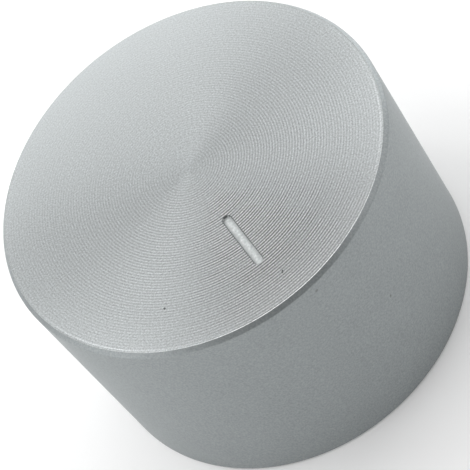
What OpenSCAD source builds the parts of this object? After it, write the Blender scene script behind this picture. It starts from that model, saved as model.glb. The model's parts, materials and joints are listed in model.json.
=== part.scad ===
// Turned aluminium control knob for a plain round shaft, held on by one hex socket set screw.
// The foot stands on Z = 0, the knob turns about Z, and the pointer mark runs out towards -Y.

/* [Body] */
// Diameter of the plain round grip
knob_d = 30; // [26:0.5:60]
// Height from the foot to the face
knob_h = 18; // [14:0.5:40]
// Bevel between the grip and the face
face_bevel = 0.3; // [0.1:0.05:2]
// Bevel that breaks the outer edge of the foot
foot_bevel = 0.2; // [0.05:0.05:1]

/* [Pointer mark] */
// Width of the mark's floor, which is the tip of the engraving cutter
mark_floor_w = 0.65; // [0.3:0.05:3]
// Slope of the mark's walls from upright, half the cutter's angle
mark_wall_tilt = 20; // [5:1:30]
// Depth of the mark below the face
mark_depth = 0.15; // [0.1:0.05:1]
// Travel of the cutter, between the centres of the mark's round ends
mark_travel = 4.5; // [2:0.1:7]
// Plain face between the outer end of the mark and the edge of the face
mark_edge_gap = 3.8; // [1:0.05:6]

/* [Underside] */
// Diameter of the recess that clears the panel nut and its washer
nut_recess_d = 18; // [12:0.5:22]
// Depth of that recess
nut_recess_depth = 5; // [2:0.25:7]
// Diameter of the shaft that the knob fits
shaft_d = 6; // [4.5:0.05:8]
// Clearance round the shaft, on the radius
shaft_clearance = 0.03; // [0.005:0.005:0.05]
// Metal left between the drill's point and the face
face_web = 1.2; // [0.8:0.1:3]
// Point angle of the drill that made the bore
drill_point_angle = 118; // [90:1:140]
// Bevel at the mouths of the recess and the bore
mouth_bevel = 0.3; // [0.1:0.05:0.8]

/* [Set screw] */
// Outside diameter of the screw's thread
thread_d = 4; // [2.5:0.5:5]
// Length of the screw
screw_len = 8; // [4:0.5:9]
// Bevel round the screw's outer end
screw_bevel = 0.4; // [0.1:0.05:0.6]
// Size of the hex key across its flats
key_af = 2; // [1.3:0.1:2.5]
// Depth of the key's socket
socket_depth = 2.5; // [1:0.1:3]
// Diameter of the cup that bites the shaft
cup_d = 2; // [1:0.1:2.4]
// Depth of the cup
cup_depth = 0.5; // [0.2:0.05:1]
// Gap between the tip and the bore, with the screw backed off for the shaft
screw_backoff = 0.2; // [0.05:0.05:2]
// Clearance between the thread's crest and its hole, on the radius
thread_clearance = 0.05; // [0.02:0.01:0.1]

/* [Hidden] */
$fn = 96;
hex_sides = 6;
// How far each cut runs past the face that it opens
overrun = 0.5;

grip_r = knob_d / 2;
face_r = grip_r - face_bevel;

// The mark's half widths at its floor and where the cutter clears the face
mark_floor_r = mark_floor_w / 2;
mark_face_r = mark_floor_r + mark_depth * tan(mark_wall_tilt);
mark_clear_r = mark_face_r + overrun * tan(mark_wall_tilt);
mark_z = knob_h - mark_depth;
mark_outer_y = face_r - mark_edge_gap - mark_face_r;
mark_inner_y = mark_outer_y - mark_travel;

recess_r = nut_recess_d / 2;
bore_r = shaft_d / 2 + shaft_clearance;
drill_point_h = bore_r / tan(drill_point_angle / 2);
bore_top = knob_h - face_web - drill_point_h;

// The screw grips the shaft half way up the bore, on the side away from the mark
screw_z = (nut_recess_depth + bore_top) / 2;
screw_r = thread_d / 2 - thread_clearance;
screw_tip_y = bore_r + screw_backoff;
cup_r = cup_d / 2;
socket_point_h = key_af / 2 / tan(drill_point_angle / 2);

// Half section of the bar as turned: foot, grip, bevel and face
module outer_section() {
  polygon([
    [0, 0],
    [grip_r - foot_bevel, 0],
    [grip_r, foot_bevel],
    [grip_r, knob_h - face_bevel],
    [face_r, knob_h],
    [0, knob_h]
  ]);
}

// Half section of what is bored out from below: nut recess, shaft bore and drill point
module hollow_section() {
  polygon([
    [0, -overrun],
    [recess_r + mouth_bevel + overrun, -overrun],
    [recess_r, mouth_bevel],
    [recess_r, nut_recess_depth],
    [bore_r + mouth_bevel, nut_recess_depth],
    [bore_r, nut_recess_depth + mouth_bevel],
    [bore_r, bore_top],
    [0, bore_top + drill_point_h]
  ]);
}

// Space swept by the engraving cutter: a cone at each end of its travel, and the run between them
module pointer_mark() {
  for (y = [mark_inner_y, mark_outer_y])
    translate([0, -y, mark_z]) cylinder(h = mark_depth + overrun, r1 = mark_floor_r, r2 = mark_clear_r);
  translate([0, -mark_inner_y, mark_z])
    rotate([90, 0, 0])
      linear_extrude(mark_travel)
        polygon([
          [-mark_floor_r, 0],
          [mark_floor_r, 0],
          [mark_clear_r, mark_depth + overrun],
          [-mark_clear_r, mark_depth + overrun]
        ]);
}

// Tapped hole from the grip into the bore, drawn at the thread's outside diameter
module screw_hole() {
  translate([0, 0, screw_z]) rotate([-90, 0, 0]) cylinder(h = grip_r + overrun, d = thread_d);
}

// Half section of the screw along its axis, from the cup to the key end
module screw_section() {
  polygon([
    [0, cup_depth],
    [cup_r, 0],
    [screw_r, screw_r - cup_r],
    [screw_r, screw_len - screw_bevel],
    [screw_r - screw_bevel, screw_len],
    [0, screw_len]
  ]);
}

// Hexagon for the key, with the point of the drill that opened it
module key_socket() {
  translate([0, 0, screw_len - socket_depth]) {
    cylinder(h = socket_depth + overrun, d = key_af / cos(180 / hex_sides), $fn = hex_sides);
    translate([0, 0, -socket_point_h]) cylinder(h = socket_point_h, r1 = 0, r2 = key_af / 2);
  }
}

module knob_body() {
  color("silver")
    difference() {
      rotate_extrude()
        difference() {
          outer_section();
          hollow_section();
        }
      pointer_mark();
      screw_hole();
    }
}

module set_screw() {
  color("dimgray")
    translate([0, screw_tip_y, screw_z])
      rotate([-90, 0, 0])
        difference() {
          rotate_extrude() screw_section();
          key_socket();
        }
}

knob_body();
set_screw();
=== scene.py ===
import json
import math
import random

import bmesh
import bpy
from mathutils import Matrix, Vector


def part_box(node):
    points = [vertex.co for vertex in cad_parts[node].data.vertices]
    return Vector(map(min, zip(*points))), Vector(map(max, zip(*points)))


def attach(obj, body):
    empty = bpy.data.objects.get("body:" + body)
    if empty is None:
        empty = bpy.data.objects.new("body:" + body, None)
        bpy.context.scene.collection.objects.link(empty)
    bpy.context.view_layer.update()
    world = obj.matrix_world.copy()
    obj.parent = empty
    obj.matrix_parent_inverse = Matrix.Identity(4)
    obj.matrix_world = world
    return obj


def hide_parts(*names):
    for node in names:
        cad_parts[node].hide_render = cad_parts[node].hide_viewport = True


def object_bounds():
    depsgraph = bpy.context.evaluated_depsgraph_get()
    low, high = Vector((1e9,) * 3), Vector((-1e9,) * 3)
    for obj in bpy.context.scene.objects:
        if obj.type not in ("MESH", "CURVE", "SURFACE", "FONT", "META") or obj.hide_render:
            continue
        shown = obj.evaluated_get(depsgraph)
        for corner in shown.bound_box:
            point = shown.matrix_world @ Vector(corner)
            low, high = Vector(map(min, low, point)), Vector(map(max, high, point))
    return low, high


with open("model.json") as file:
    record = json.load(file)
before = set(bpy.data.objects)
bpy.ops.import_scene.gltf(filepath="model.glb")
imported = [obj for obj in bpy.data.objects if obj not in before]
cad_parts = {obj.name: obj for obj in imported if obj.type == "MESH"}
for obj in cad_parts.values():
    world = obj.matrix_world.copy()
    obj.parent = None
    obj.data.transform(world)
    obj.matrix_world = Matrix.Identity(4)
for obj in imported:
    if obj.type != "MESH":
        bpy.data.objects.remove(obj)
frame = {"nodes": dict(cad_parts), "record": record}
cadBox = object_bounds()
scene = bpy.context.scene
mm = 0.001
print("frame loaded:", sorted(frame["nodes"]))

mixFrom, mixTo, mixOut = 6, 7, 2  # a Mix node's colour sockets, which share their names with others
grainSpan = (0.3, 0.7)  # where nearly all values of a fine noise lie
patchSpan = (0.35, 0.65)  # and of a broad one


# sRGB hex to the linear colour that Blender's sockets take
def linear(hexColour):
    shares = [int(hexColour[i:i + 2], 16) / 255 for i in (1, 3, 5)]
    return [s / 12.92 if s <= 0.04045 else ((s + 0.055) / 1.055) ** 2.4 for s in shares] + [1.0]


# Adds one node, with each input set to a value or linked to a socket, and with its settings
def addNode(tree, kind, inputs=(), **settings):
    node = tree.nodes.new(kind)
    for name, value in settings.items():
        setattr(node, name, value)
    for name, value in dict(inputs).items():
        if isinstance(value, bpy.types.NodeSocket):
            tree.links.new(value, node.inputs[name])
        else:
            node.inputs[name].default_value = value
    return node


def startMaterial(name):
    material = bpy.data.materials.new(name)
    material.use_nodes = True
    material.node_tree.nodes.clear()
    return material, material.node_tree


def addObject(name, mesh):
    thing = bpy.data.objects.new(name, mesh)
    scene.collection.objects.link(thing)
    return thing


# A closed mesh from rows of points that go round an axis, where a row of one point closes it on the axis.
# Each row's number says which of the finishes the band up to the next row has
def skinRows(name, rows, rowFinish, finishes):
    shape = bmesh.new()
    rings = [[shape.verts.new(p) for p in row] for row in rows]
    for upper, lower, number in zip(rings, rings[1:], rowFinish):
        count = max(len(upper), len(lower))
        for i in range(count):
            j = (i + 1) % count
            if len(upper) == 1:
                corners = (upper[0], lower[i], lower[j])
            elif len(lower) == 1:
                corners = (upper[i], lower[0], upper[j])
            else:
                corners = (upper[i], lower[i], lower[j], upper[j])
            shape.faces.new(corners).material_index = number
    bmesh.ops.recalc_face_normals(shape, faces=shape.faces)
    mesh = bpy.data.meshes.new(name)
    shape.to_mesh(mesh)
    shape.free()
    for finish in finishes:
        mesh.materials.append(finish)
    return addObject(name, mesh)


# Cuts one closed mesh out of another, where the cut takes over the cutter's finish
def cutAway(thing, cutter):
    cut = thing.modifiers.new("cut", "BOOLEAN")
    cut.operation = "DIFFERENCE"
    cut.solver = "EXACT"
    cut.material_mode = "TRANSFER"
    cut.object = cutter
    bpy.context.view_layer.update()
    result = bpy.data.meshes.new_from_object(thing.evaluated_get(bpy.context.evaluated_depsgraph_get()))
    thing.modifiers.clear()
    thing.data = result
    bpy.data.objects.remove(cutter)


# Smooth over everything that bends less than the angle, and crisp at the edges that bend more
def shade(thing, angle):
    thing.data.shade_smooth()
    thing.data.set_sharp_from_angle(angle=angle)


# The camera looks down on the pointer from the front, rolled over so that the knob leans
shot = {
    "elevation": math.radians(49.65),
    "roll": math.radians(-37.85),
    "distance": 146.4 * mm,
    "lens": 150.9, "sensor": 36,  # both in mm
    "nearest": 10 * mm,
    "aside": 0.21 * mm, "above": 0.08 * mm,  # where the knob stands from the frame's middle
}


def placeCamera():
    low, high = cadBox
    back = Vector((0, -math.cos(shot["elevation"]), math.sin(shot["elevation"])))
    level = Vector((1, 0, 0))
    upright = back.cross(level)
    right = level * math.cos(shot["roll"]) + upright * math.sin(shot["roll"])
    up = upright * math.cos(shot["roll"]) - level * math.sin(shot["roll"])
    data = bpy.data.cameras.new("camera")
    data.lens = shot["lens"]
    data.sensor_width = shot["sensor"]
    data.clip_start = shot["nearest"]
    camera = addObject("camera", data)
    camera.matrix_world = Matrix((right, up, back)).transposed().to_4x4()
    middle = (low + high) / 2
    camera.location = middle + back * shot["distance"] - right * shot["aside"] - up * shot["above"]
    scene.camera = camera


placeCamera()
print("camera placed")


# The turned body, at the size that the CAD has
bodyLow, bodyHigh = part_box("knob_body")
bore = next(m for m in frame["record"]["mounts"] if m["name"] == "shaft_bore")
body = {
    "segments": 192,
    "gripR": (bodyHigh.x - bodyLow.x) / 2,
    "top": bodyHigh.z,
    "faceBevel": 0.3 * mm,
    "softR": 0.2 * mm, "softSteps": 6,  # where blasting has rounded the bevel into the grip
    "gripSteps": 12,
    "footBevel": 0.2 * mm,
    "recessR": 9 * mm, "recessDepth": 5 * mm,
    "mouthBevel": 0.3 * mm,
    "boreR": bore["dims"]["r_mm"] * mm,
    "boreLow": bore["pos_m"][2],
    "boreLength": bore["dims"]["length_mm"] * mm,
    "drillPoint": math.radians(59),  # half the drill's point angle
    "crispAngle": math.radians(9),
}
toolRings = {
    "feed": 0.213 * mm,  # how far the facing tool moved each turn
    "depth": 0.0055 * mm,
    "steps": 6,
    "uneven": 0.25, "seed": 7,  # share by which one ring is deeper or shallower than the next
    "centreShare": 0.25, "fullFrom": 3 * mm,  # of the depth, at the centre, and all of it from here out
    "rimShare": 0.4, "fadeFrom": 8 * mm,  # of the depth, at the rim, fading from here out
    "farShare": 0.1,  # of the depth, left at the far side where the etch went deeper
    "lastShare": 1.4,  # the last ring is deeper, where the tool ran off the edge
}
faceR = body["gripR"] - body["faceBevel"]
ringCount = round(faceR / toolRings["feed"])
ringFeed = faceR / ringCount


def facedAluminium():
    # Aluminium bar faced with a round-nosed tool, etched and clear anodised: pale silver whose
    # sheen fans out from the centre, broken up by a fine frosted grain, with the rings' sheen painted
    # in over one part of the turn: a painted highlight on the crests and painted shade in the valleys
    finish = {
        # plain is the metal's own tone; the crest colour is a painted highlight and the two valley colours
        # are painted shade
        "plain": "#D3D8D9", "crest": "#FDFEFF",
        "paintedValleyShade": "#7C8081", "paintedRimShade": "#B8BCBD",
        "paleFrom": 11.5 * mm,  # the painted valley shade gets paler from here to the rim
        "frost": "#CBCBCB",  # multiplied in where the grain is darkest
        "grain": 0.12 * mm, "grainHeight": 0.004 * mm,  # coarser than the real etch, so that it shows
        "fineFrom": 3.0 * mm, "farGrain": 0.45,  # the grain is weaker from here to the far edge
        "cloud": 2.5 * mm, "roughness": (0.276, 0.288),
        "anisotropy": 0.5, "acrossRings": 0.25,  # the sheen spreads a quarter turn from the rings' own way
        "paintedSheen": math.radians(-84), "paintedSheenFade": 6.0,  # where the painted ring sheen is strongest, and how fast that fades
        "easeIn": (1.0 * mm, 6.0 * mm), "easeShare": 0.2,  # it grows from the centre out
        "chatter": 0.6,  # how many times a turn it changes
        "patch": 1.3 * mm,  # size of the patches that have more of it or less
        "uneven": 0.25,  # by what share it changes
        "paintedSheenElsewhere": 0.38, "paintedSheenBehind": 0.08,  # a weaker painted sheen goes all round, least behind
        "easeOut": (8.0 * mm, 14.5 * mm), "rimElsewhere": 0.6,  # and fades towards the rim
    }
    waveRing = math.pi / 10  # how far apart the wave's rings are at a scale of 1
    middle = 0.5  # of the grain's tones
    material, tree = startMaterial("faced anodised aluminium")
    place = addNode(tree, "ShaderNodeTexCoord").outputs["Object"]
    split = addNode(tree, "ShaderNodeSeparateXYZ", {"Vector": place})
    flat = addNode(tree, "ShaderNodeVectorMath", {0: place, 1: (1, 1, 0)}, operation="MULTIPLY")
    radius = addNode(tree, "ShaderNodeVectorMath", {0: flat.outputs["Vector"]}, operation="LENGTH")

    # painted highlights on the rings' crests and painted shade in their valleys, where the turned rings
    # have them
    rings = addNode(tree, "ShaderNodeTexWave", {
        "Vector": place, "Scale": waveRing / ringFeed}, wave_type="RINGS", rings_direction="Z")
    paling = addNode(tree, "ShaderNodeMapRange", {
        "Value": radius.outputs["Value"], "From Min": finish["paleFrom"], "From Max": faceR})
    paintedValleyShade = addNode(tree, "ShaderNodeMix", {
        "Factor": paling.outputs["Result"],
        mixFrom: linear(finish["paintedValleyShade"]), mixTo: linear(finish["paintedRimShade"])}, data_type="RGBA")
    paintedRingLight = addNode(tree, "ShaderNodeMix", {
        "Factor": rings.outputs["Fac"],
        mixFrom: linear(finish["crest"]), mixTo: paintedValleyShade.outputs[mixOut]}, data_type="RGBA")

    # the strong painted ring sheen, over one part of the turn
    outward = addNode(tree, "ShaderNodeVectorMath", {0: flat.outputs["Vector"]}, operation="NORMALIZE")
    facing = addNode(tree, "ShaderNodeVectorMath", {
        0: outward.outputs["Vector"],
        1: (math.cos(finish["paintedSheen"]), math.sin(finish["paintedSheen"]), 0)}, operation="DOT_PRODUCT")
    ahead = addNode(tree, "ShaderNodeMath", {0: facing.outputs["Value"], 1: 0.0}, operation="MAXIMUM")
    narrow = addNode(tree, "ShaderNodeMath", {
        0: ahead.outputs["Value"], 1: finish["paintedSheenFade"]}, operation="POWER")
    growing = addNode(tree, "ShaderNodeMapRange", {
        "Value": radius.outputs["Value"], "To Min": finish["easeShare"],
        "From Min": finish["easeIn"][0], "From Max": finish["easeIn"][1]})
    grown = addNode(tree, "ShaderNodeMath", {
        0: narrow.outputs["Value"], 1: growing.outputs["Result"]}, operation="MULTIPLY")

    # it changes from ring to ring and from patch to patch
    turnNumber = addNode(tree, "ShaderNodeMath", {
        0: radius.outputs["Value"], 1: ringFeed}, operation="DIVIDE")
    chatter = addNode(tree, "ShaderNodeTexNoise", {
        "W": turnNumber.outputs["Value"], "Scale": finish["chatter"], "Detail": 1.0}, noise_dimensions="1D")
    patches = addNode(tree, "ShaderNodeTexNoise", {
        "Vector": place, "Scale": 1 / finish["patch"], "Detail": 2.0})
    byRing, byPatch = (addNode(tree, "ShaderNodeMapRange", {
        "Value": noise.outputs["Fac"], "From Min": patchSpan[0], "From Max": patchSpan[1],
        "To Min": 1 - finish["uneven"], "To Max": 1 + finish["uneven"]}) for noise in (chatter, patches))
    varied = addNode(tree, "ShaderNodeMath", {
        0: byRing.outputs["Result"], 1: byPatch.outputs["Result"]}, operation="MULTIPLY")
    hard = addNode(tree, "ShaderNodeMath", {
        0: grown.outputs["Value"], 1: varied.outputs["Value"]}, operation="MULTIPLY", use_clamp=True)

    # the weaker painted ring sheen, all the way round and least behind
    elsewhere = addNode(tree, "ShaderNodeMapRange", {
        "Value": facing.outputs["Value"], "From Min": -1.0,
        "To Min": finish["paintedSheenBehind"], "To Max": finish["paintedSheenElsewhere"]})
    rising = addNode(tree, "ShaderNodeMapRange", {
        "Value": radius.outputs["Value"],
        "From Max": toolRings["fullFrom"], "To Min": toolRings["centreShare"]})
    remaining = addNode(tree, "ShaderNodeMapRange", {
        "Value": radius.outputs["Value"], "To Min": 1.0, "To Max": finish["rimElsewhere"],
        "From Min": finish["easeOut"][0], "From Max": finish["easeOut"][1]})
    started = addNode(tree, "ShaderNodeMath", {
        0: elsewhere.outputs["Result"], 1: rising.outputs["Result"]}, operation="MULTIPLY")
    soft = addNode(tree, "ShaderNodeMath", {
        0: started.outputs["Value"], 1: remaining.outputs["Result"]}, operation="MULTIPLY")
    paintedSheen = addNode(tree, "ShaderNodeMath", {
        0: soft.outputs["Value"], 1: hard.outputs["Value"]}, operation="MAXIMUM")
    # the plain tone, with the painted ring highlights and shade mixed in by that share
    turned = addNode(tree, "ShaderNodeMix", {
        "Factor": paintedSheen.outputs["Value"],
        mixFrom: linear(finish["plain"]), mixTo: paintedRingLight.outputs[mixOut]}, data_type="RGBA")

    # the frosted grain, with all its tones in front and only the middle ones at the far edge
    grain = addNode(tree, "ShaderNodeTexNoise", {
        "Vector": place, "Scale": 1 / finish["grain"], "Detail": 2.0})
    palest, darkest = (addNode(tree, "ShaderNodeMapRange", {
        "Value": split.outputs["Y"], "From Min": finish["fineFrom"], "From Max": faceR,
        "To Min": end, "To Max": middle + (end - middle) * finish["farGrain"]}) for end in (0.0, 1.0))
    frost = addNode(tree, "ShaderNodeMapRange", {
        "Value": grain.outputs["Fac"], "From Min": grainSpan[0], "From Max": grainSpan[1],
        "To Min": palest.outputs["Result"], "To Max": darkest.outputs["Result"]})
    tone = addNode(tree, "ShaderNodeMix", {
        "Factor": frost.outputs["Result"],
        mixFrom: turned.outputs[mixOut], mixTo: linear(finish["frost"])},
        data_type="RGBA", blend_type="MULTIPLY")
    bump = addNode(tree, "ShaderNodeBump", {
        "Height": grain.outputs["Fac"], "Distance": finish["grainHeight"], "Strength": 1.0})

    cloud = addNode(tree, "ShaderNodeTexNoise", {
        "Vector": place, "Scale": 1 / finish["cloud"], "Detail": 2.0})
    dullness = addNode(tree, "ShaderNodeMapRange", {
        "Value": cloud.outputs["Fac"],
        "To Min": finish["roughness"][0], "To Max": finish["roughness"][1]})
    around = addNode(tree, "ShaderNodeTangent", direction_type="RADIAL", axis="Z")
    shader = addNode(tree, "ShaderNodeBsdfPrincipled", {
        "Base Color": tone.outputs[mixOut], "Metallic": 1.0, "Roughness": dullness.outputs["Result"],
        "Anisotropic": finish["anisotropy"], "Anisotropic Rotation": finish["acrossRings"],
        "Tangent": around.outputs["Tangent"], "Normal": bump.outputs["Normal"]})
    addNode(tree, "ShaderNodeOutputMaterial", {"Surface": shader.outputs["BSDF"]})
    return material


def blastedAluminium():
    # Aluminium blasted with fine glass beads and clear anodised: an even matt grey with a
    # close frosted grain and no streaks
    finish = {
        "light": "#A5AAAB", "dark": "#94999A",
        "bead": 0.14 * mm, "dimpleHeight": 0.006 * mm,  # coarser than the real beads, so that they show
        "cloud": 3.0 * mm, "roughness": (0.50, 0.58),
    }
    material, tree = startMaterial("bead-blasted anodised aluminium")
    place = addNode(tree, "ShaderNodeTexCoord").outputs["Object"]
    dimples = addNode(tree, "ShaderNodeTexNoise", {
        "Vector": place, "Scale": 1 / finish["bead"], "Detail": 2.0})
    cloud = addNode(tree, "ShaderNodeTexNoise", {
        "Vector": place, "Scale": 1 / finish["cloud"], "Detail": 3.0})
    frost = addNode(tree, "ShaderNodeMapRange", {
        "Value": dimples.outputs["Fac"], "From Min": grainSpan[0], "From Max": grainSpan[1]})
    tone = addNode(tree, "ShaderNodeMix", {
        "Factor": frost.outputs["Result"],
        mixFrom: linear(finish["dark"]), mixTo: linear(finish["light"])}, data_type="RGBA")
    dullness = addNode(tree, "ShaderNodeMapRange", {
        "Value": cloud.outputs["Fac"],
        "To Min": finish["roughness"][0], "To Max": finish["roughness"][1]})
    bump = addNode(tree, "ShaderNodeBump", {
        "Height": dimples.outputs["Fac"], "Distance": finish["dimpleHeight"], "Strength": 1.0})
    shader = addNode(tree, "ShaderNodeBsdfPrincipled", {
        "Base Color": tone.outputs[mixOut], "Metallic": 1.0, "Roughness": dullness.outputs["Result"],
        "Normal": bump.outputs["Normal"]})
    addNode(tree, "ShaderNodeOutputMaterial", {"Surface": shader.outputs["BSDF"]})
    return material


def boredAluminium():
    # Aluminium bored and drilled from below, then clear anodised with the rest: smoother than
    # the blasted skin, with fine feed marks round the axis
    finish = {
        "light": "#D2D7D8", "dark": "#B9BFC0",
        "feed": 0.09 * mm, "markHeight": 0.004 * mm,
        "roughness": 0.36, "anisotropy": 0.5, "acrossMarks": 0.25,
    }
    material, tree = startMaterial("bored anodised aluminium")
    place = addNode(tree, "ShaderNodeTexCoord").outputs["Object"]
    split = addNode(tree, "ShaderNodeSeparateXYZ", {"Vector": place})
    flat = addNode(tree, "ShaderNodeVectorMath", {0: place, 1: (1, 1, 0)}, operation="MULTIPLY")
    radius = addNode(tree, "ShaderNodeVectorMath", {0: flat.outputs["Vector"]}, operation="LENGTH")
    section = addNode(tree, "ShaderNodeCombineXYZ", {
        "X": radius.outputs["Value"], "Z": split.outputs["Z"]})
    marks = addNode(tree, "ShaderNodeTexNoise", {
        "Vector": section.outputs["Vector"], "Scale": 1 / finish["feed"], "Detail": 1.0})
    tone = addNode(tree, "ShaderNodeMix", {
        "Factor": marks.outputs["Fac"],
        mixFrom: linear(finish["dark"]), mixTo: linear(finish["light"])}, data_type="RGBA")
    bump = addNode(tree, "ShaderNodeBump", {
        "Height": marks.outputs["Fac"], "Distance": finish["markHeight"], "Strength": 1.0})
    around = addNode(tree, "ShaderNodeTangent", direction_type="RADIAL", axis="Z")
    shader = addNode(tree, "ShaderNodeBsdfPrincipled", {
        "Base Color": tone.outputs[mixOut], "Metallic": 1.0, "Roughness": finish["roughness"],
        "Anisotropic": finish["anisotropy"], "Anisotropic Rotation": finish["acrossMarks"],
        "Tangent": around.outputs["Tangent"], "Normal": bump.outputs["Normal"]})
    addNode(tree, "ShaderNodeOutputMaterial", {"Surface": shader.outputs["BSDF"]})
    return material


# How much of its full depth a ring has, by its distance from the axis
def ringShare(r):
    gain = (1 - toolRings["centreShare"]) * r / toolRings["fullFrom"]
    loss = (1 - toolRings["rimShare"]) * (r - toolRings["fadeFrom"]) / (faceR - toolRings["fadeFrom"])
    return min(1, toolRings["centreShare"] + gain, 1 - loss)


# One row of points round the knob's axis, where a dip in it gets shallower towards the far side
def turnedRow(r, z, dip=0):
    row = []
    for i in range(body["segments"]):
        turn = 2 * math.pi * i / body["segments"]
        x, y = r * math.cos(turn), r * math.sin(turn)
        far = (1 + y / body["gripR"]) / 2  # 0 at the front of the grip, 1 at its back
        row.append((x, y, z - dip * (1 - far * (1 - toolRings["farShare"]))))
    return row


# The face has one shallow scallop for each turn of the tool, with crests at the face's own height
def ringRows():
    chance = random.Random(toolRings["seed"])
    rows = [[(0, 0, body["top"])]]
    for ring in range(ringCount):
        depth = toolRings["depth"] * (1 + toolRings["uneven"] * chance.uniform(-1, 1))
        depth *= ringShare((ring + 0.5) * ringFeed)  # at its middle
        if ring == ringCount - 1:
            depth = toolRings["depth"] * toolRings["lastShare"]
        for step in range(toolRings["steps"]):
            share = step / toolRings["steps"]
            dip = depth * (1 - (2 * share - 1) ** 2)
            if ring + step > 0:
                rows.append(turnedRow((ring + share) * ringFeed, body["top"], dip))
    return rows


# Half section of the outside: the bevel, the arc that runs it into the grip, and the grip
def outsideProfile():
    bevelTilt = math.pi / 4  # as wide as it is high
    bend = math.pi / 2 - bevelTilt
    softR, gripR = body["softR"], body["gripR"]
    gripTop = body["top"] - body["faceBevel"] - softR * math.tan(bend / 2)
    points = [(faceR, body["top"])]
    for step in range(body["softSteps"] + 1):
        tilt = bevelTilt + bend * step / body["softSteps"]
        points.append((gripR - softR * (1 - math.sin(tilt)), gripTop + softR * math.cos(tilt)))
    for step in range(1, body["gripSteps"] + 1):
        points.append((gripR, gripTop + (body["footBevel"] - gripTop) * step / body["gripSteps"]))
    return points


# Half section from below: the foot, the nut recess, the shaft bore and the drill's point
def underProfile():
    boreTop = body["boreLow"] + body["boreLength"]
    return [
        (body["gripR"] - body["footBevel"], 0),
        (body["recessR"] + body["mouthBevel"], 0),
        (body["recessR"], body["mouthBevel"]),
        (body["recessR"], body["recessDepth"]),
        (body["boreR"] + body["mouthBevel"], body["recessDepth"]),
        (body["boreR"], body["recessDepth"] + body["mouthBevel"]),
        (body["boreR"], boreTop),
        (0, boreTop + body["boreR"] / math.tan(body["drillPoint"])),
    ]


def turnBody():
    face = ringRows()
    outside = [turnedRow(r, z) for r, z in outsideProfile()]
    under = [turnedRow(r, z) if r > 0 else [(0, 0, z)] for r, z in underProfile()]
    rowFinish = [0] * len(face) + [1] * len(outside) + [2] * len(under)
    return skinRows("turned_body", face + outside + under, rowFinish, [faced, blasted, bored])


faced = facedAluminium()
blasted = blastedAluminium()
bored = boredAluminium()
knob = turnBody()
print("body turned:", ringCount, "rings")


# The pointer mark, engraved with a tapered cutter
mark = {
    "floorR": 0.325 * mm,
    "wallTilt": math.radians(20),
    "depth": 0.15 * mm,
    "inner": 6.02 * mm, "outer": 10.52 * mm,  # centres of the round ends, out from the axis
    "endSteps": 16,
    "overrun": 0.2 * mm,  # how far the cutter stands out of the face
    "upward": 0.7,  # share of a normal that points up or down: less on a wall, more on the floor
    "paintedShadeSide": 0.9, "paintedShadeTip": 0.4,  # and sideways: more along the sides, less at the tip of an end, where the walls take the painted shade
}


def milledAluminium():
    # Aluminium cut through the anodising with a small engraving cutter: bare, with a fine mottle
    # where the cutter rubbed, and painted shade that darkens it from the mark's middle towards its walls
    finish = {
        # edge is the colour of the painted shade next to the walls
        "light": "#CACDCD", "dark": "#A0A4A4", "edge": "#8C8F8F",
        "middle": 0.08 * mm, "side": 0.36 * mm,  # off the mark's own line, where the painted shade starts and where it is full
        "mottle": 0.22 * mm, "mottleHeight": 0.006 * mm,
        "roughness": (0.38, 0.50),
    }
    material, tree = startMaterial("milled bare aluminium")
    place = addNode(tree, "ShaderNodeTexCoord").outputs["Object"]
    mottle = addNode(tree, "ShaderNodeTexNoise", {
        "Vector": place, "Scale": 1 / finish["mottle"], "Detail": 3.0})
    rubbed = addNode(tree, "ShaderNodeMapRange", {
        "Value": mottle.outputs["Fac"], "From Min": grainSpan[0], "From Max": grainSpan[1]})
    tone = addNode(tree, "ShaderNodeMix", {
        "Factor": rubbed.outputs["Result"],
        mixFrom: linear(finish["dark"]), mixTo: linear(finish["light"])}, data_type="RGBA")
    split = addNode(tree, "ShaderNodeSeparateXYZ", {"Vector": place})
    # painted shade, darker towards the mark's walls
    across = addNode(tree, "ShaderNodeMath", {0: split.outputs["X"]}, operation="ABSOLUTE")
    paintedWallShade = addNode(tree, "ShaderNodeMapRange", {
        "Value": across.outputs["Value"], "From Min": finish["middle"], "From Max": finish["side"]})
    worn = addNode(tree, "ShaderNodeMix", {
        "Factor": paintedWallShade.outputs["Result"],
        mixFrom: tone.outputs[mixOut], mixTo: linear(finish["edge"])}, data_type="RGBA")
    dullness = addNode(tree, "ShaderNodeMapRange", {
        "Value": mottle.outputs["Fac"],
        "To Min": finish["roughness"][0], "To Max": finish["roughness"][1]})
    bump = addNode(tree, "ShaderNodeBump", {
        "Height": mottle.outputs["Fac"], "Distance": finish["mottleHeight"], "Strength": 1.0})
    shader = addNode(tree, "ShaderNodeBsdfPrincipled", {
        "Base Color": worn.outputs[mixOut], "Metallic": 1.0, "Roughness": dullness.outputs["Result"],
        "Normal": bump.outputs["Normal"]})
    addNode(tree, "ShaderNodeOutputMaterial", {"Surface": shader.outputs["BSDF"]})
    return material


def paintedShadeAndPitFinish():
    # A dull dark finish, a little uneven: painted shade on the mark's walls, and the dark tone of the
    # face's knocks
    finish = {"light": "#7E8181", "dark": "#626565", "fleck": 0.05 * mm, "roughness": 0.8}
    material, tree = startMaterial("painted shade and dark pit tone")
    place = addNode(tree, "ShaderNodeTexCoord").outputs["Object"]
    flecks = addNode(tree, "ShaderNodeTexNoise", {
        "Vector": place, "Scale": 1 / finish["fleck"], "Detail": 2.0})
    tone = addNode(tree, "ShaderNodeMix", {
        "Factor": flecks.outputs["Fac"],
        mixFrom: linear(finish["dark"]), mixTo: linear(finish["light"])}, data_type="RGBA")
    shader = addNode(tree, "ShaderNodeBsdfPrincipled", {
        "Base Color": tone.outputs[mixOut], "Roughness": finish["roughness"]})
    addNode(tree, "ShaderNodeOutputMaterial", {"Surface": shader.outputs["BSDF"]})
    return material


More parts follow.
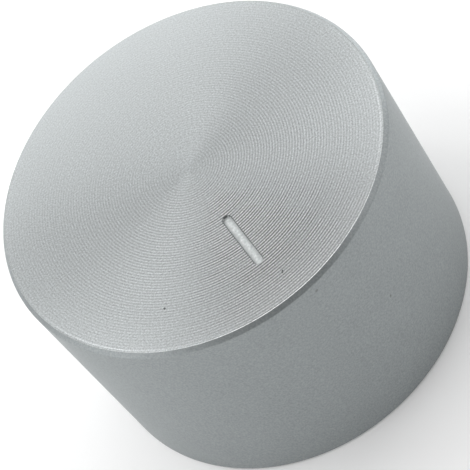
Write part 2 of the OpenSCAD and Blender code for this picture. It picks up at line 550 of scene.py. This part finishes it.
def engraveMark():
    rows = []
    for rise in (0, mark["depth"] + mark["overrun"]):
        r = mark["floorR"] + rise * math.tan(mark["wallTilt"])
        z = body["top"] - mark["depth"] + rise
        row = []
        for end, first in ((mark["inner"], 0), (mark["outer"], math.pi)):
            for step in range(mark["endSteps"] + 1):
                a = first + math.pi * step / mark["endSteps"]
                row.append((r * math.cos(a), -end + r * math.sin(a), z))
        rows.append(row)
    bottom, top = ([tuple(sum(axis) / len(row) for axis in zip(*row))] for row in rows)
    finishes = [milled, paintedShadeAndPitTone, faced]
    cutter = skinRows("mark_cutter", [bottom, *rows, top], [0, 0, 0], finishes)
    # painted shade, with the dark finish, along the long walls and at the tip of the inner end; the rest of
    # the inner end wall takes the face's paler finish, painted lighter than the milled one
    for wall in cutter.data.polygons:
        upright = abs(wall.normal.z) < mark["upward"]
        sideways = abs(wall.normal.x)
        inner = wall.center.y > -mark["inner"]
        if upright and (sideways > mark["paintedShadeSide"] or inner and sideways < mark["paintedShadeTip"]):
            wall.material_index = finishes.index(paintedShadeAndPitTone)
        elif upright and inner:
            wall.material_index = finishes.index(faced)
    cutAway(knob, cutter)


milled = milledAluminium()
paintedShadeAndPitTone = paintedShadeAndPitFinish()
engraveMark()
print("mark engraved")


# Small knocks that handling has left: place and half size in mm, turn in degrees about an upright line
knocks = [
    # the knocks on the face take the dark pit tone, which makes them darker than the face
    {"name": "face_pit", "finish": paintedShadeAndPitTone,
     "place": (-7.06, -8.88, 18.0), "halfSize": (0.09, 0.09, 0.07), "turn": 0},
    {"name": "face_nick", "finish": paintedShadeAndPitTone,
     "place": (0.79, -12.63, 18.0), "halfSize": (0.07, 0.16, 0.08), "turn": -30},
    # the grip's pits take the milled finish, which away from the mark is all its dark edge colour, so that
    # they look darker than the grip
    {"name": "upper_grip_pit", "finish": milled,
     "place": (1.79, -14.89, 17.02), "halfSize": (0.12, 0.04, 0.12), "turn": 7},
    {"name": "lower_grip_pit", "finish": milled,
     "place": (5.72, -13.86, 10.09), "halfSize": (0.1, 0.035, 0.1), "turn": 22},
]


def knockMetal(knock):
    turn = Matrix.Rotation(math.radians(knock["turn"]), 3, "Z")
    where = Matrix.LocRotScale(Vector(knock["place"]) * mm, turn, Vector(knock["halfSize"]) * mm)
    shape = bmesh.new()
    bmesh.ops.create_icosphere(shape, subdivisions=2, radius=1, matrix=where)
    mesh = bpy.data.meshes.new(knock["name"])
    shape.to_mesh(mesh)
    shape.free()
    mesh.materials.append(knock["finish"])
    cutAway(knob, addObject(knock["name"], mesh))


for knock in knocks:
    knockMetal(knock)
print("knocks made:", len(knocks))


# The set screw, whose axis runs along +Y, and its tapped hole
screwLow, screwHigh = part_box("set_screw")
screw = {
    "segments": 48,
    "crestR": (screwHigh.x - screwLow.x) / 2,
    "height": (screwLow.z + screwHigh.z) / 2,
    "tip": screwLow.y, "end": screwHigh.y,
    "pitch": 0.7 * mm,
    "threadDepth": 0.38 * mm,
    "stepsPerPitch": 14,
    "crestShare": 0.125, "rootShare": 0.25,  # flats, as shares of the pitch
    "clearance": 0.05 * mm,
    "bevel": 0.4 * mm,
    "cupR": 1.0 * mm, "cupDepth": 0.5 * mm,
    "keyAcrossFlats": 2.0 * mm,
    "socketDepth": 2.5 * mm,
    "socketPoint": math.radians(59),  # half the point angle of the socket's drill
    "crispAngle": math.radians(25),
}


def blackOxideSteel():
    # Alloy steel blackened in hot salts and oiled: near black, with a dull satin gleam that
    # rubs to grey on the edges
    finish = {
        "black": "#2B2C2E", "rubbed": "#55575A",
        "edge": (0.5, 0.62),  # pointiness of a flat surface, and of an edge rubbed bare
        "patch": 0.6 * mm, "roughness": (0.34, 0.52),
    }
    material, tree = startMaterial("black oxide steel")
    place = addNode(tree, "ShaderNodeTexCoord").outputs["Object"]
    patches = addNode(tree, "ShaderNodeTexNoise", {
        "Vector": place, "Scale": 1 / finish["patch"], "Detail": 4.0})
    edges = addNode(tree, "ShaderNodeNewGeometry")
    worn = addNode(tree, "ShaderNodeMapRange", {
        "Value": edges.outputs["Pointiness"], "From Min": finish["edge"][0], "From Max": finish["edge"][1]})
    rubbed = addNode(tree, "ShaderNodeMath", {
        0: worn.outputs["Result"], 1: patches.outputs["Fac"]}, operation="MULTIPLY", use_clamp=True)
    tone = addNode(tree, "ShaderNodeMix", {
        "Factor": rubbed.outputs["Value"],
        mixFrom: linear(finish["black"]), mixTo: linear(finish["rubbed"])}, data_type="RGBA")
    dullness = addNode(tree, "ShaderNodeMapRange", {
        "Value": patches.outputs["Fac"],
        "To Min": finish["roughness"][0], "To Max": finish["roughness"][1]})
    shader = addNode(tree, "ShaderNodeBsdfPrincipled", {
        "Base Color": tone.outputs[mixOut], "Metallic": 1.0, "Roughness": dullness.outputs["Result"]})
    addNode(tree, "ShaderNodeOutputMaterial", {"Surface": shader.outputs["BSDF"]})
    return material


def threadRadius(crestR, turn, y):
    across = (y / screw["pitch"] - turn / (2 * math.pi)) % 1
    climb = abs(2 * across - 1)  # 1 in the middle of a crest, 0 in the middle of a root
    rise = (climb - screw["rootShare"]) / (1 - screw["crestShare"] - screw["rootShare"])
    return crestR - screw["threadDepth"] * (1 - min(1, max(0, rise)))


# One row of points round the screw's axis, where the radius goes by the turn
def screwRow(radius, y):
    turns = [2 * math.pi * i / screw["segments"] for i in range(screw["segments"])]
    return [(radius(a) * math.cos(a), y, screw["height"] + radius(a) * math.sin(a)) for a in turns]


# Rows along a thread, which a limit by the place along it cuts down at the ends
def screwThread(crestR, start, end, limit=lambda y: math.inf):
    steps = math.ceil((end - start) / screw["pitch"] * screw["stepsPerPitch"])
    rows = []
    for step in range(steps + 1):
        y = start + (end - start) * step / steps
        rows.append(screwRow(lambda a: min(threadRadius(crestR, a, y), limit(y)), y))
    return rows


def tapHole():
    start, end = body["boreR"] / 2, body["gripR"] + screw["pitch"]  # from inside the bore to past the grip
    thread = screwThread(screw["crestR"] + screw["clearance"], start, end)
    rows = [[(0, start, screw["height"])], *thread, [(0, end, screw["height"])]]
    cutAway(knob, skinRows("tap_cutter", rows, [0] * len(rows), [bored]))


def hexRadius(turn):
    side = math.pi / 3  # a sixth of a turn
    return screw["keyAcrossFlats"] / 2 / math.cos(turn % side - side / 2)


def makeScrew():
    tip, end = screw["tip"], screw["end"]
    floor = end - screw["socketDepth"]
    point = floor - screw["keyAcrossFlats"] / 2 / math.tan(screw["socketPoint"])

    # the cone round the cup and the bevel at the key's end
    def limit(y):
        return min(screw["cupR"] + (y - tip), screw["crestR"] - screw["bevel"] + (end - y))

    rows = [[(0, tip + screw["cupDepth"], screw["height"])]]
    rows += screwThread(screw["crestR"], tip, end, limit)
    rows += [screwRow(hexRadius, end), screwRow(hexRadius, floor)]
    rows += [[(0, point, screw["height"])]]
    return skinRows("grub_screw", rows, [0] * len(rows), [blackOxideSteel()])


tapHole()
shade(knob, body["crispAngle"])
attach(knob, "root")
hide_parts("knob_body")
print("body finished:", len(knob.data.polygons), "faces")

grub = makeScrew()
shade(grub, screw["crispAngle"])
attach(grub, "root")
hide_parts("set_screw")
print("set screw made:", len(grub.data.polygons), "faces")


# Floor and light
studio = {
    "floorR": 1.2, "floorSides": 96,
    "floorHoleR": 14.6 * mm,  # under the foot, so that the underside gets light when seen from below
    "floorDrop": 0.01 * mm,
    "world": "#FFFFFF", "worldStrength": 0.22,
    "panelDistance": 0.8,
    # azimuth from straight behind the knob, towards the right, then elevation, in degrees;
    # sizes in metres and power in watts
    "panels": [
        {"name": "wall", "azimuth": 0, "elevation": 20, "size": (1.2, 0.56), "power": 6.78},
        {"name": "leftLow", "azimuth": -100, "elevation": 14, "size": (0.8, 0.35), "power": 1.73},
        {"name": "rightFront", "azimuth": 115, "elevation": 32, "size": (0.5, 0.35), "power": 0.98},
        {"name": "rightBack", "azimuth": 58, "elevation": 14, "size": (0.4, 0.36), "power": 1.75},
        {"name": "ceiling", "azimuth": 0, "elevation": 88, "size": (0.5, 0.5), "power": 0.6},
        {"name": "rightBox", "azimuth": 50, "elevation": 50, "size": (0.6, 0.3), "power": 1.32},
        {"name": "leftBox", "azimuth": -42, "elevation": 52, "size": (0.3, 0.35), "power": 1.3},
        {"name": "leftSide", "azimuth": -88, "elevation": 60, "size": (0.4, 0.4), "power": 1.71},
    ],
}


def mattPaper():
    # Uncoated white paper: flat and even, with no gloss
    finish = {
        "paper": "#E6E6E6", "white": "#FFFFFF",
        "glow": 0.14,  # lifts it towards white where the camera or the metal looks at it
        "fibre": 0.5 * mm, "fibreHeight": 0.01 * mm, "fibreStrength": 0.3,
        "roughness": 0.9, "specular": 0.1,
    }
    material, tree = startMaterial("matt white paper")
    place = addNode(tree, "ShaderNodeTexCoord").outputs["Object"]
    fibre = addNode(tree, "ShaderNodeTexNoise", {
        "Vector": place, "Scale": 1 / finish["fibre"], "Detail": 2.0})
    bump = addNode(tree, "ShaderNodeBump", {
        "Height": fibre.outputs["Fac"], "Distance": finish["fibreHeight"],
        "Strength": finish["fibreStrength"]})
    ray = addNode(tree, "ShaderNodeLightPath")
    direct = addNode(tree, "ShaderNodeMath", {
        0: ray.outputs["Is Camera Ray"], 1: ray.outputs["Is Glossy Ray"]}, operation="MAXIMUM")
    seen = addNode(tree, "ShaderNodeMath", {
        0: direct.outputs["Value"], 1: ray.outputs["Is Transmission Ray"]}, operation="MAXIMUM")
    glow = addNode(tree, "ShaderNodeMath", {
        0: seen.outputs["Value"], 1: finish["glow"]}, operation="MULTIPLY")
    paper = addNode(tree, "ShaderNodeBsdfPrincipled", {
        "Base Color": linear(finish["paper"]), "Roughness": finish["roughness"],
        "Specular IOR Level": finish["specular"], "Normal": bump.outputs["Normal"],
        "Emission Color": linear(finish["white"]), "Emission Strength": glow.outputs["Value"]})
    # seen from below the sheet isn't there
    side = addNode(tree, "ShaderNodeNewGeometry")
    clear = addNode(tree, "ShaderNodeBsdfTransparent")
    both = addNode(tree, "ShaderNodeMixShader", {
        "Fac": side.outputs["Backfacing"], 1: paper.outputs["BSDF"], 2: clear.outputs["BSDF"]})
    addNode(tree, "ShaderNodeOutputMaterial", {"Surface": both.outputs["Shader"]})
    return material


def layFloor():
    shape = bmesh.new()
    sides, z = studio["floorSides"], -studio["floorDrop"]
    turns = [2 * math.pi * i / sides for i in range(sides)]
    inner, outer = ([shape.verts.new((r * math.cos(a), r * math.sin(a), z)) for a in turns]
                    for r in (studio["floorHoleR"], studio["floorR"]))
    for i in range(sides):
        j = (i + 1) % sides
        shape.faces.new((inner[i], outer[i], outer[j], inner[j]))
    mesh = bpy.data.meshes.new("floor")
    shape.to_mesh(mesh)
    shape.free()
    mesh.materials.append(mattPaper())
    addObject("floor", mesh)


def hangPanel(panel):
    turn, rise = math.radians(panel["azimuth"]), math.radians(panel["elevation"])
    away = Vector((math.sin(turn) * math.cos(rise), math.cos(turn) * math.cos(rise), math.sin(rise)))
    data = bpy.data.lights.new(panel["name"], "AREA")
    data.shape = "RECTANGLE"
    data.size, data.size_y = panel["size"]
    data.energy = panel["power"]
    lamp = addObject(panel["name"], data)
    lamp.location = away * studio["panelDistance"]
    lamp.rotation_euler = away.to_track_quat("Z", "Y").to_euler()


def lightWorld():
    world = bpy.data.worlds.new("studio")
    world.use_nodes = True
    background = world.node_tree.nodes["Background"]
    background.inputs["Color"].default_value = linear(studio["world"])
    background.inputs["Strength"].default_value = studio["worldStrength"]
    scene.world = world


layFloor()
for panel in studio["panels"]:
    hangPanel(panel)
lightWorld()
scene.view_settings.view_transform = "Standard"
print("studio lit")
